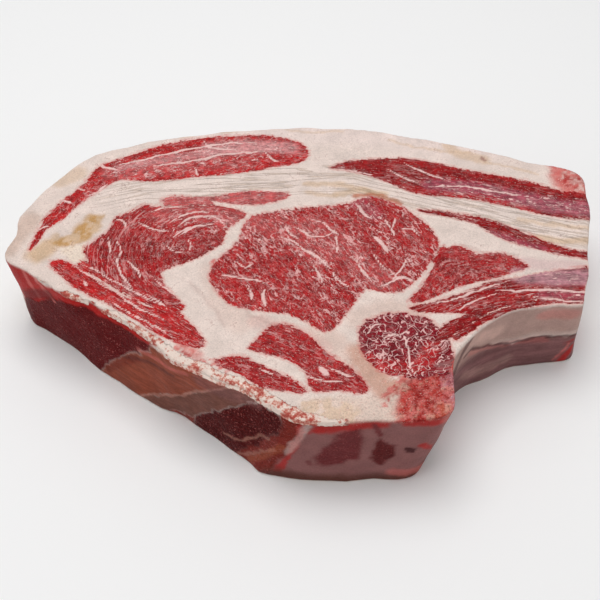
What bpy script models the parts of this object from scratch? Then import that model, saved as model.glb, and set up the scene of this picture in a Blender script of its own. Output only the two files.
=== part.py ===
"""A thick bone-in ribeye steak, sawn straight through the loin and lying on its lower cut face.

Outlines are in millimetres, seen from above: +X along the slab, +Y towards the fat cap.
Every muscle and bone runs through the slab and shows on the faces that cut it.
"""

import math

import bmesh
import bpy
import numpy as np
from mathutils.geometry import delaunay_2d_cdt

MM = 0.001  # one millimetre in metres
THICKNESS = 48.0
GAP = 0.3  # clearance between two neighbouring pieces
BEYOND = 6.0  # how far a cutter reaches past the surface that it cuts
WALL_PLATE = 3.0  # depth of the sawn bones and bands behind the side wall
LATTICE = 11.0  # spacing of the points inside the uneven upper face
SHARPEST = 0.25  # limits how far a sharp tip moves when an outline grows

# The rim of the slab, anticlockwise from the left tip: x and y on the upper face, x and y on the lower one.
RIM = [
    (-132, 3, -130, 7),
    (-129, -3, -127, 1),
    (-121, -8, -122, -3),
    (-113, -14, -112, -10),
    (-104, -20, -102, -18),
    (-92, -25.5, -89, -30),
    (-78, -34, -75, -40),
    (-67, -43, -64, -47),
    (-58, -53, -54, -52),
    (-48, -59.5, -44, -59),
    (-35, -66.5, -33, -68.5),
    (-24, -70.5, -24, -76),
    (-14, -79, -18, -80.5),
    (-5, -84.5, -8, -83),
    (10, -86, 10, -84),
    (30, -85, 28, -83.5),
    (46, -84.5, 42, -82.5),
    (55, -82, 47, -79),
    (58.5, -77, 50, -72),
    (58, -65, 53, -60),
    (61, -53, 58, -49),
    (69, -42.5, 68, -37.5),
    (78, -34, 78, -32),
    (90, -29, 90, -26),
    (104, -26.5, 104, -22.6),
    (114, -26.8, 117, -21),
    (117, -25, 122, -17),
    (121, -10, 123, -6),
    (124.5, 8, 125, 10),
    (128, 26, 127, 27),
    (129.5, 44, 128, 43),
    (128, 52, 126, 50),
    (121, 57.5, 120, 55),
    (104, 62, 103, 60),
    (80, 71, 80, 70),
    (58, 77, 58, 76),
    (36, 83, 36, 82),
    (10, 86, 10, 85),
    (-20, 85, -20, 84),
    (-50, 81, -50, 80),
    (-76, 75.5, -75, 74),
    (-100, 66.5, -98, 65),
    (-114, 52.5, -112, 52),
    (-123, 38, -121, 38),
    (-130, 25, -127, 25),
    (-129.5, 14, -128, 16),
]
RIM_STEPS = 3  # spline points from one rim point to the next

# Height of each ring of the side wall, and how far its rounded edge is drawn in on the fat cap.
WALL_RINGS = [
    (0.0, 1.5),
    (0.5, 0.6),
    (2.0, 0.0),
    (10.0, 0.0),
    (21.5, 0.0),
    (27.0, 0.0),
    (37.0, 0.0),
    (45.8, 0.0),
    (47.4, 0.6),
    (THICKNESS, 1.8),
]
SAWN_EDGE = 0.35  # the share of that rounding that the sawn edges have
CAP_BULGE = 1.4  # swelling of the fat cap at half height
RIB_FOLD = (21.5, 0.8)  # height and depth of the crease above the rib
RIB_WALL = (250.0, 313.0)  # the stretch of the rim that the crease follows

# Muscles that run from the upper cut face to the lower one.
MUSCLES = {
    "eye_muscle": [
        (-41, -4), (-42, -11), (-39, -18), (-33, -26), (-22, -29.5), (-8, -31.5), (0, -36), (7, -41),
        (12, -38), (17, -30), (22, -22), (25, -18), (32, -20), (40, -19.5), (47, -13), (53, -4),
        (58, 6), (56.5, 15), (51, 24), (44, 31), (36, 36), (29, 38), (22, 35), (14, 32), (0, 30.5),
        (-14, 28), (-25, 25), (-28.5, 19), (-30, 11), (-35, 4.5),
    ],
    "shoulder_muscle": [
        (-98, 6), (-93, 11), (-88, 17), (-86, 24.5), (-79, 28.5), (-74, 33), (-66, 31.5), (-52, 32.5),
        (-42, 32.5), (-34, 30.5), (-27.5, 27), (-31, 22), (-36, 17), (-37, 10), (-43, 4), (-50, -1),
        (-58, -5), (-63, -9), (-60, -17), (-53, -26), (-62, -26.5), (-72, -22), (-82, -15), (-92, -7),
        (-96, 0),
    ],
    "upper_strip": [
        (-67, 35), (-62, 38.5), (-53, 37.5), (-46, 37.5), (-36, 39.5), (-24, 41), (-12, 40.5),
        (-8, 38.5), (-12, 35), (-20, 32.7), (-29, 32.5), (-38, 34.5), (-50, 35), (-60, 34.3),
    ],
    "edge_strip": [
        (-112, -3), (-106, -10), (-99, -17), (-91, -22), (-83, -26.5), (-74, -33), (-64, -41),
        (-54, -46.5), (-45, -50), (-41.5, -47.5), (-45, -41), (-51, -34), (-56, -29.5), (-64, -28.5),
        (-74, -24), (-84, -17), (-93, -10), (-101, -4), (-107, -1),
    ],
    "cap_muscle_left": [
        (-122, 4.5), (-120.5, 14), (-117, 25), (-111, 35), (-103, 46), (-98, 57), (-93, 61), (-84, 65),
        (-72, 71), (-58, 75.5), (-40, 78.5), (-24, 79.5), (-10, 78), (-1, 73), (1, 66), (-4, 60.5),
        (-14, 58), (-24, 54.5), (-40, 52), (-56, 50), (-72, 48), (-87, 49), (-95, 42), (-104, 32),
        (-110, 23), (-116, 17), (-119, 9),
    ],
    "cap_muscle_right": [
        (11, 57.5), (19, 62), (30, 63.5), (44, 64), (56, 61.5), (70, 57), (86, 52), (102, 48),
        (118, 41), (136, 36), (136, 24), (118, 24), (104, 27), (90, 32), (74, 36.5), (60, 38.5),
        (50, 40.5), (42, 45), (32, 51), (20, 55.5),
    ],
    "thin_strip": [
        (50, 29.5), (60, 28.8), (72, 26.5), (84, 22), (94, 17), (104, 11), (116, 5), (136, 0.5),
        (136, -3), (116, 1), (104, 4.5), (92, 9), (82, 15), (76, 20.5), (66, 24.5), (56, 26.8),
    ],
    "side_muscle": [
        (43, -25), (48, -18), (53, -9), (57.5, -1), (62, 6), (68, 7), (74, 2.5), (80, 3.5), (86, 3),
        (92, -0.5), (96, -5), (89, -8), (80, -11.5), (72, -14), (64, -17), (56, -21.5), (49, -25),
    ],
    "rib_muscle": [
        (43, -28.5), (50, -26.5), (58, -23.5), (68, -19.5), (76, -15), (86, -11.8), (98, -9.3),
        (112, -6.5), (136, -5), (136, -22), (116, -22.6), (104, -22.6), (94, -24.2), (86, -26.6),
        (78, -29.8), (70, -35.6), (64, -40.6), (57, -45.2), (51.8, -48.5), (53.5, -43), (56, -38.5),
        (61, -35), (66.5, -31.8), (60, -31.3), (52, -31.2), (45, -30),
    ],
    "round_muscle": [
        (21, -42), (22.5, -37.5), (26.5, -34), (32, -32), (39, -31.3), (45, -32.2), (49.5, -33.5),
        (52, -36), (52, -40), (49.5, -45), (48.5, -51), (49, -56.5), (46, -60.3), (40, -61.2),
        (35, -63), (30, -61.5), (25.5, -57), (22, -51),
    ],
    "inner_muscle": [
        (-24, -50), (-20, -44), (-15, -38), (-9, -36.8), (-3, -40), (3, -45.5), (8, -52), (15, -57),
        (20, -62), (24, -69), (21, -72), (12, -70.5), (3, -71), (0, -66), (-1, -61), (-8, -55.5),
        (-16, -53),
    ],
    "front_strip": [
        (-38, -57), (-34, -54.8), (-26, -53.8), (-21, -57.3), (-14, -60.5), (-7, -64.8), (-1, -69.5),
        (-1.5, -72), (-9, -71), (-19, -69), (-26, -63.5), (-33, -60),
    ],
}
SPLINE_STEPS = 2  # spline points from one outline point to the next

# The vertebra, sawn in half by the front wall: its outline on the upper and the lower face.
VERTEBRA_TOP = [
    (-5, -100), (-5, -82), (-1, -77), (7, -75), (17, -75.5), (27, -77), (33.5, -77.5), (36, -72),
    (41, -67), (47, -63.8), (54, -62.8), (75, -62.8), (75, -100),
]
VERTEBRA_LEAN = (16.0, -1.0)  # how far its left edge leans out to the left, from top to bottom

# The rib under the concave wall: plan x and y, and the height of its upper side there.
RIB = [
    (53, -57, 33), (52.5, -51, 33), (56, -43.5, 32), (62, -36, 29), (70, -30, 25), (80, -24.5, 22),
    (92, -18, 21.2), (104, -14, 21.2), (136, -10, 21.2), (136, -45, 21.2), (100, -48, 21.2),
    (80, -52, 22), (68, -58, 29),
]

# Bones and bands in the front-left wall: distance along the rim from the left tip, and height.
WALL_PLATES = {
    "feather_bone_left": [
        (9, -BEYOND), (9.5, 10), (10.5, 21), (16, 28), (23, 34), (29, 40), (37, 44), (48, 45.4),
        (62, 45.4), (74, 44.4), (82, 41), (74, 33), (66.5, 27), (64.5, 20.5), (57, 14.5), (50, 8.5),
        (48, -BEYOND),
    ],
    "ligament": [
        (48, -BEYOND), (50, 8.5), (57, 14.5), (64.5, 20.5), (66.5, 27), (74, 33), (82, 41), (90, 45),
        (100, 46), (125, 46), (112, 35.5), (104, 26.5), (98, 20), (90, 14), (81, 7), (72, 1),
        (66, -BEYOND),
    ],
    "cartilage": [
        (66, -BEYOND), (72, 1), (81, 7), (90, 14), (98, 20), (104, 26.5), (112, 35.5), (125, 46),
        (138, 46), (132, 39.5), (124, 32), (116, 24), (109, 16), (104, 8), (95, 4.5), (88, 1),
        (85, -BEYOND),
    ],
    "feather_bone_right": [
        (103, -BEYOND), (104, 8), (109, 16), (116, 24), (124, 32), (132, 39.5), (138, 46), (150, 46),
        (151, 40), (149, 33), (143, 26), (138.5, 18), (131, 9), (125, -BEYOND),
    ],
}

# Muscles that a bone cuts into.
BONES_BESIDE = {
    "rib_muscle": "rib",
    "round_muscle": "rib",
    "front_strip": "feather_bone_right",
    "edge_strip": "feather_bone_left",
}

LEAN = (0.42, 0.045, 0.05)
FAT = (0.78, 0.66, 0.57)
BONE = (0.45, 0.26, 0.22)
MARROW = (0.12, 0.02, 0.02)
SINEW = (0.30, 0.12, 0.07)
RIB_SKIN = (0.30, 0.18, 0.16)


def clear_scene():
    for item in list(bpy.data.objects):
        bpy.data.objects.remove(item, do_unlink=True)


def material(name, colour, roughness):
    made = bpy.data.materials.new(name)
    made.use_nodes = True
    shader = made.node_tree.nodes["Principled BSDF"]
    shader.inputs["Base Color"].default_value = (*colour, 1.0)
    shader.inputs["Roughness"].default_value = roughness
    return made


def closed_spline(points, steps):
    """A Catmull-Rom curve through all the points and back to the first."""
    knots = np.array(points, float)
    before, after, later = np.roll(knots, 1, 0), np.roll(knots, -1, 0), np.roll(knots, -2, 0)
    spans = []
    for step in range(steps):
        t = step / steps
        spans.append(
            0.5
            * (
                2 * knots
                + (after - before) * t
                + (2 * before - 5 * knots + 4 * after - later) * t**2
                + (3 * knots - before - 3 * after + later) * t**3
            )
        )
    return np.stack(spans, 1).reshape(-1, knots.shape[1])


def anticlockwise(outline):
    x, y = outline[:, 0], outline[:, 1]
    area = np.sum(x * np.roll(y, -1) - np.roll(x, -1) * y)
    return outline if area > 0 else outline[::-1]


def side_normals(outline):
    """The unit normal of the side that leaves each point of an anticlockwise outline."""
    along = np.roll(outline, -1, 0) - outline
    normal = np.stack([along[:, 1], -along[:, 0]], 1)
    return normal / np.linalg.norm(normal, axis=1, keepdims=True)


def outward(outline):
    """The unit normal at each point of an anticlockwise outline."""
    sides = side_normals(outline)
    both = sides + np.roll(sides, 1, 0)
    return both / np.linalg.norm(both, axis=1, keepdims=True)


def grown(outline, by):
    """The outline with every side moved out by the same amount, and its sharpest tips a little less."""
    normal = outward(outline)
    slant = np.sum(normal * side_normals(outline), axis=1, keepdims=True)
    return outline + by * normal / np.maximum(slant, SHARPEST)


def rim_curve():
    return closed_spline(RIM, RIM_STEPS)


def rim_distance(rim):
    """How far each point of the rim is from the left tip, along the upper edge."""
    steps = np.linalg.norm(np.diff(rim[:, :2], axis=0), axis=1)
    return np.concatenate([[0.0], np.cumsum(steps)])


def wall_outline(rim, height):
    """The outline of the slab at a height, before its edges are rounded."""
    share = height / THICKNESS
    return rim[:, 2:] * (1 - share) + rim[:, :2] * share


def crease(distance, height):
    """How deep the fold above the rib is at this place on the wall."""
    start, end = RIB_WALL
    along = np.clip((distance - start) / 12.0, 0, 1) * (distance < end)
    across = max(0.0, 1 - abs(height - RIB_FOLD[0]) / 3.0)
    return RIB_FOLD[1] * along * across


def wall_ring(rim, height, drawn_in):
    outline = wall_outline(rim, height)
    distance = rim_distance(rim)
    swelling = CAP_BULGE * math.sin(math.pi * height / THICKNESS)
    at_cap = np.clip(outline[:, 1] / 40.0, 0, 1)
    rounded = drawn_in * (SAWN_EDGE + (1 - SAWN_EDGE) * at_cap)
    uneven = 0.35 * np.sin(distance / 5.3 + height / 6.0) + 0.25 * np.sin(distance / 3.1 - height / 9.0)
    out = swelling * at_cap + uneven - rounded - crease(distance, height)
    return outline + out[:, None] * outward(outline)


def centre_of(rim):
    """The middle of the slab's box in plan, which becomes the origin."""
    plan = np.concatenate([wall_ring(rim, height, drawn_in) for height, drawn_in in WALL_RINGS])
    return (plan.min(0) + plan.max(0)) / 2


def upper_face(x, y):
    """Height of the upper cut face, which is a little uneven."""
    return THICKNESS + 0.45 * np.sin(x / 31 + 0.7) * np.cos(y / 23) + 0.3 * np.sin((x + y) / 17)


def lattice_inside(outline, spacing, margin):
    """Points on a staggered lattice that lie inside the outline and clear of it."""
    low, high = outline.min(0), outline.max(0)
    ends = np.roll(outline, -1, 0)
    found = []
    for row, y in enumerate(np.arange(low[1] + margin, high[1], spacing * 0.87)):
        for x in np.arange(low[0] + margin + row % 2 * spacing / 2, high[0], spacing):
            crosses = (outline[:, 1] > y) != (ends[:, 1] > y)
            rise = (y - outline[:, 1]) / (ends[:, 1] - outline[:, 1] + 1e-12)
            inside = np.sum(crosses & (x < outline[:, 0] + rise * (ends[:, 0] - outline[:, 0]))) % 2
            if inside and np.linalg.norm(outline - (x, y), axis=1).min() > margin:
                found.append((x, y))
    return np.array(found).reshape(-1, 2)


def filled(outline, spacing):
    """Points and triangles that fill an outline, its own points first."""
    inner = lattice_inside(outline, spacing, spacing * 0.45)
    count = len(outline)
    border = [(k, (k + 1) % count) for k in range(count)]
    plan = [tuple(p) for p in np.concatenate([outline, inner])]
    points, _, faces, *_ = delaunay_2d_cdt(plan, border, [], 1, 1e-6)
    return np.array([tuple(p) for p in points]), faces


def mesh_of(name, points, faces):
    mesh = bpy.data.meshes.new(name)
    mesh.from_pydata([tuple(p * MM) for p in points], [], [tuple(face) for face in faces])
    body = bmesh.new()
    body.from_mesh(mesh)
    bmesh.ops.recalc_face_normals(body, faces=body.faces)
    body.to_mesh(mesh)
    body.free()
    return mesh


def loft_faces(rings, count):
    """The quads between closed rings of equal length, each stored after the one below."""
    faces = []
    for ring in range(rings - 1):
        for k in range(count):
            after = (k + 1) % count
            low, high = ring * count, (ring + 1) * count
            faces.append((low + k, low + after, high + after, high + k))
    return faces


def slab_mesh(rim, centre):
    rings = [wall_ring(rim, height, drawn_in) for height, drawn_in in WALL_RINGS]
    count = len(rim)
    points = []
    for (height, _), ring in zip(WALL_RINGS, rings):
        heights = np.full(count, height)
        if height == THICKNESS:
            heights = upper_face(ring[:, 0], ring[:, 1])
        points.append(np.column_stack([ring - centre, heights]))
    faces = loft_faces(len(rings), count)
    faces.append(tuple(range(count))[::-1])
    top, top_faces = filled(rings[-1], LATTICE)
    inner = top[count:]
    points.append(np.column_stack([inner - centre, upper_face(inner[:, 0], inner[:, 1])]))
    first = (len(rings) - 1) * count
    faces += [tuple(first + k for k in face) for face in top_faces]
    return mesh_of("slab", np.concatenate(points), faces)


def column(name, low, high, heights):
    """A closed column between two outlines of equal length, from under the slab to the given heights."""
    count = len(low)
    floor = np.full(count, -BEYOND)
    points = np.concatenate([np.column_stack([low, floor]), np.column_stack([high, heights])])
    faces = loft_faces(2, count)
    faces += [tuple(range(count))[::-1], tuple(range(count, 2 * count))]
    mesh = mesh_of(name, points, faces)
    body = bmesh.new()
    body.from_mesh(mesh)
    bmesh.ops.triangulate(body, faces=body.faces)
    body.to_mesh(mesh)
    body.free()
    return mesh


def muscle_column(name, centre, growth):
    outline = anticlockwise(closed_spline(MUSCLES[name], SPLINE_STEPS)) - centre
    outline = grown(outline, growth)
    return column(name, outline, outline, np.full(len(outline), THICKNESS + BEYOND))


def vertebra_column(centre, growth):
    top = anticlockwise(np.array(VERTEBRA_TOP, float))
    foot = top.copy()
    leaning = top[:, 0] < 0
    foot[leaning] -= VERTEBRA_LEAN
    top, foot = grown(top, growth) - centre, grown(foot, growth) - centre
    return column("vertebra", foot, top, np.full(len(top), THICKNESS + BEYOND))


def rib_column(centre, growth):
    points = np.array(RIB, float)
    outline = grown(anticlockwise(points[:, :2]), growth) - centre
    heights = anticlockwise(points)[:, 2] + growth
    return column("rib", outline, outline, heights)


def plate_mesh(name, rim, centre, growth):
    """A plate that follows the side wall: its outline is drawn in distance along the rim and height."""
    corners = anticlockwise(np.array(WALL_PLATES[name], float))
    outline = np.stack([corners, (corners + np.roll(corners, -1, 0)) / 2], 1).reshape(-1, 2)
    outline = grown(outline, 2 * growth - GAP / 2)
    flat, faces = filled(outline, LATTICE)
    distance = rim_distance(rim)
    layers = []
    for out in (-WALL_PLATE - growth, BEYOND):
        wall = []
        for along, height in flat:
            plan = wall_outline(rim, height)
            plan = plan + out * outward(plan)
            x, y = (np.interp(along, distance, plan[:, axis]) for axis in (0, 1))
            wall.append((x, y, height))
        layers.append(np.array(wall) - (*centre, 0))
    count, edge = len(flat), len(outline)
    sides = [(k, (k + 1) % edge, count + (k + 1) % edge, count + k) for k in range(edge)]
    outer = [tuple(count + k for k in face)[::-1] for face in faces]
    return mesh_of(name, np.concatenate(layers), [tuple(face) for face in faces] + outer + sides)


def add_object(name, mesh, finish=None):
    item = bpy.data.objects.new(name, mesh)
    bpy.context.scene.collection.objects.link(item)
    if finish is None:
        item.hide_render = True
        item.display_type = "WIRE"
    else:
        mesh.materials.append(finish)
    return item


def boolean(item, operation, cutter):
    modifier = item.modifiers.new(cutter.name, "BOOLEAN")
    modifier.operation = operation
    modifier.object = cutter


def piece(name, slab, cutter, finish):
    """The part of the slab that lies inside a cutter."""
    item = add_object(name, slab.copy(), finish)
    item.data.name = name
    boolean(item, "INTERSECT", cutter)
    return item


def build():
    clear_scene()
    rim = rim_curve()
    centre = centre_of(rim)
    slab = slab_mesh(rim, centre)
    slab.shade_smooth()
    slab.set_sharp_from_angle(angle=math.radians(40))

    def cutters(name, make, *where):
        """The cutter of a piece, and the slightly larger one for its neighbours."""
        own = add_object(name + "_cutter", make(*where, 0.0))
        socket = add_object(name + "_socket", make(*where, GAP))
        return own, socket

    sockets = {}
    pieces = {}
    for name in MUSCLES:
        own, sockets[name] = cutters(name, muscle_column, name, centre)
        pieces[name] = piece(name, slab, own, material(name, LEAN, 0.35))
    for name in WALL_PLATES:
        own, sockets[name] = cutters(name, plate_mesh, name, rim, centre)
        colour = MARROW if "bone" in name else SINEW
        pieces[name] = piece(name, slab, own, material(name, colour, 0.4))
    own, sockets["vertebra"] = cutters("vertebra", vertebra_column, centre)
    pieces["vertebra"] = piece("vertebra", slab, own, material("vertebra", BONE, 0.45))
    own, sockets["rib"] = cutters("rib", rib_column, centre)
    pieces["rib"] = piece("rib", slab, own, material("rib", RIB_SKIN, 0.4))

    for name, bone in BONES_BESIDE.items():
        boolean(pieces[name], "DIFFERENCE", sockets[bone])
    fat = add_object("fat", slab, material("fat", FAT, 0.45))
    for socket in sockets.values():
        boolean(fat, "DIFFERENCE", socket)


build()
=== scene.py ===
"""The looks of a thick raw ribeye steak: marbled muscles and sawn bones in fat, on a plain pale floor.

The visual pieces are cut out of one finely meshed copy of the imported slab, one piece for each node.
Places on the upper face are plan coordinates in millimetres; places on the side wall are the distance
along the rim from the left tip and the height, in millimetres too.
"""

import itertools
import math

import bpy
import numpy as np
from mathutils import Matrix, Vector
from mathutils.kdtree import KDTree


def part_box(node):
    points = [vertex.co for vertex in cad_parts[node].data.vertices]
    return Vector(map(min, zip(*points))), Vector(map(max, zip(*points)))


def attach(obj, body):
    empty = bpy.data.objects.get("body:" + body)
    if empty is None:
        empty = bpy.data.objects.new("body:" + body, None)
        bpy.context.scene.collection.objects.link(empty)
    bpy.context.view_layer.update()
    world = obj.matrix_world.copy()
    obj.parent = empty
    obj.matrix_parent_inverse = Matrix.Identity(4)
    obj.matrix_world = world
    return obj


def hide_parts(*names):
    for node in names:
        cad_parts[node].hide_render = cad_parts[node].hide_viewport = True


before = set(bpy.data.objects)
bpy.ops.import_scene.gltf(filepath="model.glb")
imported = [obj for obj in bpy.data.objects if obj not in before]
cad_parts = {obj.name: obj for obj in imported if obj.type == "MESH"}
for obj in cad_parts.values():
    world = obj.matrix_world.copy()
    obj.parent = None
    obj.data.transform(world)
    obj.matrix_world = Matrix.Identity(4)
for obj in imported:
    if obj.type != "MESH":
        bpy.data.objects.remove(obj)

MM = 0.001  # one millimetre in metres
VOXEL = 0.85  # fineness of the visual mesh
CLOSES_GAP = 0.22  # each node grows by this, so that the clearances between them close
THROUGH = 3.0  # how far a cutter reaches past the surface that it cuts
ON_SURFACE = 0.9  # a node's point this near the slab's surface counts as on it
THICKNESS = 48.0
MIDDLE = np.array([-0.85, 0.63])  # the slab's middle in the plan that the places below are given in
SHARP_ANGLE = 50.0  # degrees from which an edge stays sharp

# Nodes that are cut out first, because they cut into the muscles. The fat is what is left at the end.
BONES = ["vertebra", "rib", "feather_bone_left", "ligament", "cartilage", "feather_bone_right"]
MUSCLES = [
    "eye_muscle", "shoulder_muscle", "upper_strip", "edge_strip", "cap_muscle_left", "cap_muscle_right",
    "thin_strip", "side_muscle", "rib_muscle", "round_muscle", "inner_muscle", "front_strip",
]
WALL_GROWTH = 0.4  # the bones grow by this, so that they meet


def node_points(name):
    """A node's welded points in millimetres, and its triangles."""
    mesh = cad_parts[name].data
    mesh.calc_loop_triangles()
    points = np.array([tuple(v.co) for v in mesh.vertices]) / MM
    faces = np.array([tuple(t.vertices) for t in mesh.loop_triangles])
    _, first, index = np.unique(np.round(points, 2), axis=0, return_index=True, return_inverse=True)
    faces = index.reshape(-1)[faces]
    real = (faces[:, 0] != faces[:, 1]) & (faces[:, 1] != faces[:, 2]) & (faces[:, 0] != faces[:, 2])
    return points[first], faces[real]


def vertex_normals(points, faces):
    corners = points[faces]
    flat = np.cross(corners[:, 1] - corners[:, 0], corners[:, 2] - corners[:, 0])
    total = np.zeros_like(points)
    for corner in range(3):
        np.add.at(total, faces[:, corner], flat)
    return total / np.maximum(np.linalg.norm(total, axis=1, keepdims=True), 1e-12)


def added(name, data):
    """A new object in the scene that holds the data."""
    item = bpy.data.objects.new(name, data)
    bpy.context.scene.collection.objects.link(item)
    return item


def new_object(name, points, faces):
    mesh = bpy.data.meshes.new(name)
    mesh.from_pydata((np.asarray(points) * MM).tolist(), [], np.asarray(faces).tolist())
    return added(name, mesh)


def with_modifiers(item):
    """The item's mesh as its modifiers leave it."""
    graph = bpy.context.evaluated_depsgraph_get()
    return bpy.data.meshes.new_from_object(item.evaluated_get(graph))


def mesh_points(mesh):
    points = np.empty(len(mesh.vertices) * 3, np.float32)
    mesh.vertices.foreach_get("co", points)
    return points.reshape(-1, 3).astype(float) / MM


def mesh_triangles(mesh):
    mesh.calc_loop_triangles()
    faces = np.empty(len(mesh.loop_triangles) * 3, np.int32)
    mesh.loop_triangles.foreach_get("vertices", faces)
    return faces.reshape(-1, 3)


def set_points(mesh, points):
    mesh.vertices.foreach_set("co", (points * MM).astype(np.float32).ravel())
    mesh.update()


def fine_slab():
    """All the nodes joined into one closed body, meshed evenly."""
    all_points, all_faces, count = [], [], 0
    for name in sorted(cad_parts):
        points, faces = node_points(name)
        all_points.append(points + CLOSES_GAP * vertex_normals(points, faces))
        all_faces.append(faces + count)
        count += len(points)
    item = new_object("slab", np.concatenate(all_points), np.concatenate(all_faces))
    remesh = item.modifiers.new("even", "REMESH")
    remesh.mode = "VOXEL"
    remesh.voxel_size = VOXEL * MM
    mesh = with_modifiers(item)
    item.modifiers.clear()
    item.data = mesh
    points = mesh_points(mesh)
    set_points(mesh, points - CLOSES_GAP * vertex_normals(points, mesh_triangles(mesh)))
    return item


# Smooth steps, noise and distances, all worked out for many points at once.

SCATTER = np.array([127.1, 311.7, 74.7])  # uneven factors that make a cell's number unlike its neighbours'
SEED_STEP = 17.3
SCATTER_SCALE = 43758.5453
OCTAVE_SUM = 1.6  # brings noise on noise back to about -1 to 1


def smooth(low, high, value):
    share = np.clip((value - low) / (high - low), 0, 1)
    return share * share * (3 - 2 * share)


def lattice_value(cells, seed):
    """A repeatable number from 0 to 1 for each whole-number cell."""
    spread = cells @ SCATTER + seed * SEED_STEP
    return np.abs(np.modf(np.sin(spread) * SCATTER_SCALE)[0])


def noise(points, size, seed):
    """Smooth noise from -1 to 1 whose lumps are about that size."""
    at = points / size
    cell = np.floor(at)
    part = at - cell
    part = part * part * (3 - 2 * part)
    total = np.zeros(len(points))
    for corner in itertools.product((0, 1), repeat=3):
        share = np.prod(np.where(corner, part, 1 - part), axis=1)
        total += share * lattice_value(cell + corner, seed)
    return 2 * total - 1


def rough(points, size, seed, octaves=3):
    """Noise with finer and weaker noise on top."""
    total = np.zeros(len(points))
    for octave in range(octaves):
        total += noise(points, size / 2**octave, seed + 5 * octave) / 2**octave
    return total / OCTAVE_SUM


def warped(points, size, by, seed):
    """The points moved about by noise, which makes a drawn border ragged."""
    moves = [noise(points, size, seed + axis) for axis in range(points.shape[1])]
    return points + by * np.stack(moves, 1)


def beside(plan, path):
    """How far along a path the nearest place lies, and how far each point is beside it, left positive."""
    path = np.asarray(path, float)
    best = np.full(len(plan), 1e9)
    along = np.zeros(len(plan))
    side = np.zeros(len(plan))
    travelled = 0.0
    for start, end in zip(path[:-1], path[1:]):
        run = end - start
        length = max(np.linalg.norm(run), 1e-9)
        run = run / length
        offset = plan - start
        place = np.clip(offset @ run, 0, length)
        away = np.linalg.norm(offset - place[:, None] * run, axis=1)
        nearer = away < best
        best = np.where(nearer, away, best)
        along = np.where(nearer, travelled + place, along)
        side = np.where(nearer, np.sign(run[0] * offset[:, 1] - run[1] * offset[:, 0]), side)
        travelled += length
    return along, best * np.where(side == 0, 1, side)


def inside_by(plan, outline):
    """How deep each point lies inside a closed outline, negative outside it."""
    outline = np.asarray(outline, float)
    ends = np.roll(outline, -1, 0)
    depth = np.full(len(plan), 1e9)
    inside = np.zeros(len(plan), bool)
    for start, end in zip(outline, ends):
        run = end - start
        share = np.clip((plan - start) @ run / max(run @ run, 1e-12), 0, 1)
        depth = np.minimum(depth, np.linalg.norm(plan - start - share[:, None] * run, axis=1))
        crosses = (start[1] > plan[:, 1]) != (end[1] > plan[:, 1])
        rise = (plan[:, 1] - start[1]) / (run[1] if run[1] else 1e-12)
        inside ^= crosses & (plan[:, 0] < start[0] + rise * run[0])
    return np.where(inside, depth, -depth)


def curve(path, steps=4):
    """A smooth line through all the points of a path."""
    knots = np.asarray(path, float)
    ends = np.vstack([2 * knots[0] - knots[1], knots, 2 * knots[-1] - knots[-2]])
    before, start, end, after = ends[:-3], ends[1:-2], ends[2:-1], ends[3:]
    spans = []
    for step in range(steps):
        t = step / steps
        bend = (2 * before - 5 * start + 4 * end - after) * t**2
        turn = (3 * start - before - 3 * end + after) * t**3
        spans.append(0.5 * (2 * start + (end - before) * t + bend + turn))
    return np.vstack([np.stack(spans, 1).reshape(-1, knots.shape[1]), knots[-1:]])


def in_plan(points):
    return points[:, :2] + MIDDLE


def near(plan, shape, margin):
    """Which points lie in a shape's box or near it."""
    shape = np.asarray(shape, float)
    low, high = shape.min(0) - margin, shape.max(0) + margin
    return np.all((plan > low) & (plan < high), axis=1)


# The outlines of the muscles, read from their nodes.

RUNS_OUT = 12.0  # a muscle that reaches the right end is taken to go on past it by this
END_MARGIN = 8.0  # an outline this near the right end reaches it
TOP_MARGIN = 3.0  # a triangle this near the upper face may be part of it
FACES_UP = 0.5  # and is, when it is turned up by more than this
IN_FAT = -9.0  # the depth given to places far from any lean
BRIDGE_MARGIN = 2.0  # how far beside a bridge its depth still counts


def top_outline(name):
    """The closed outline of a muscle on the upper cut face, in plan coordinates."""
    points, faces = node_points(name)
    corners = points[faces]
    flat = np.cross(corners[:, 1] - corners[:, 0], corners[:, 2] - corners[:, 0])
    upward = flat[:, 2] / np.maximum(np.linalg.norm(flat, axis=1), 1e-12)
    top = faces[(upward > FACES_UP) & (corners[:, :, 2].min(1) > THICKNESS - TOP_MARGIN)]
    sides = {}
    for a, b, c in top.tolist():
        for side in ((a, b), (b, c), (c, a)):
            sides[side] = True
    after = {a: b for a, b in sides if (b, a) not in sides}
    loops = []
    while after:
        first, place = after.popitem()
        loop = [first]
        while place != first and place in after:
            loop.append(place)
            place = after.pop(place)
        loops.append(loop)
    outline = points[max(loops, key=len)][:, :2]
    right_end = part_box("fat")[1].x / MM
    outline[outline[:, 0] > right_end - END_MARGIN, 0] += RUNS_OUT
    return outline + MIDDLE


OUTLINES = {name: top_outline(name) for name in MUSCLES}

# Lean that runs on past the border of its muscle: the muscle, half the width and the line that it follows.
LEAN_BRIDGES = [
    ("edge_strip", 2.4, [(-97, -4), (-88, -9.5), (-79, -16.5), (-69, -23.3), (-60, -27.5), (-54, -28)]),
    ("upper_strip", 1.5, [(-64, 33.6), (-54, 34.2), (-44, 34)]),
    ("side_muscle", 1.7, [(56.5, -2), (60, 5.5)]),
    ("round_muscle", 3.2, [(49, -38), (54, -43), (56, -51), (54, -60)]),
    ("round_muscle", 3.0, [(50, -40), (51, -48), (51, -56), (48, -62)]),
    ("round_muscle", 1.6, [(40, -62), (47, -63)]),
    (
        "rib_muscle", 1.5,
        [(61, -44.5), (66, -40.5), (74, -34), (84, -29), (94, -26), (104, -24.3), (116, -23.8)],
    ),
]


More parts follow.
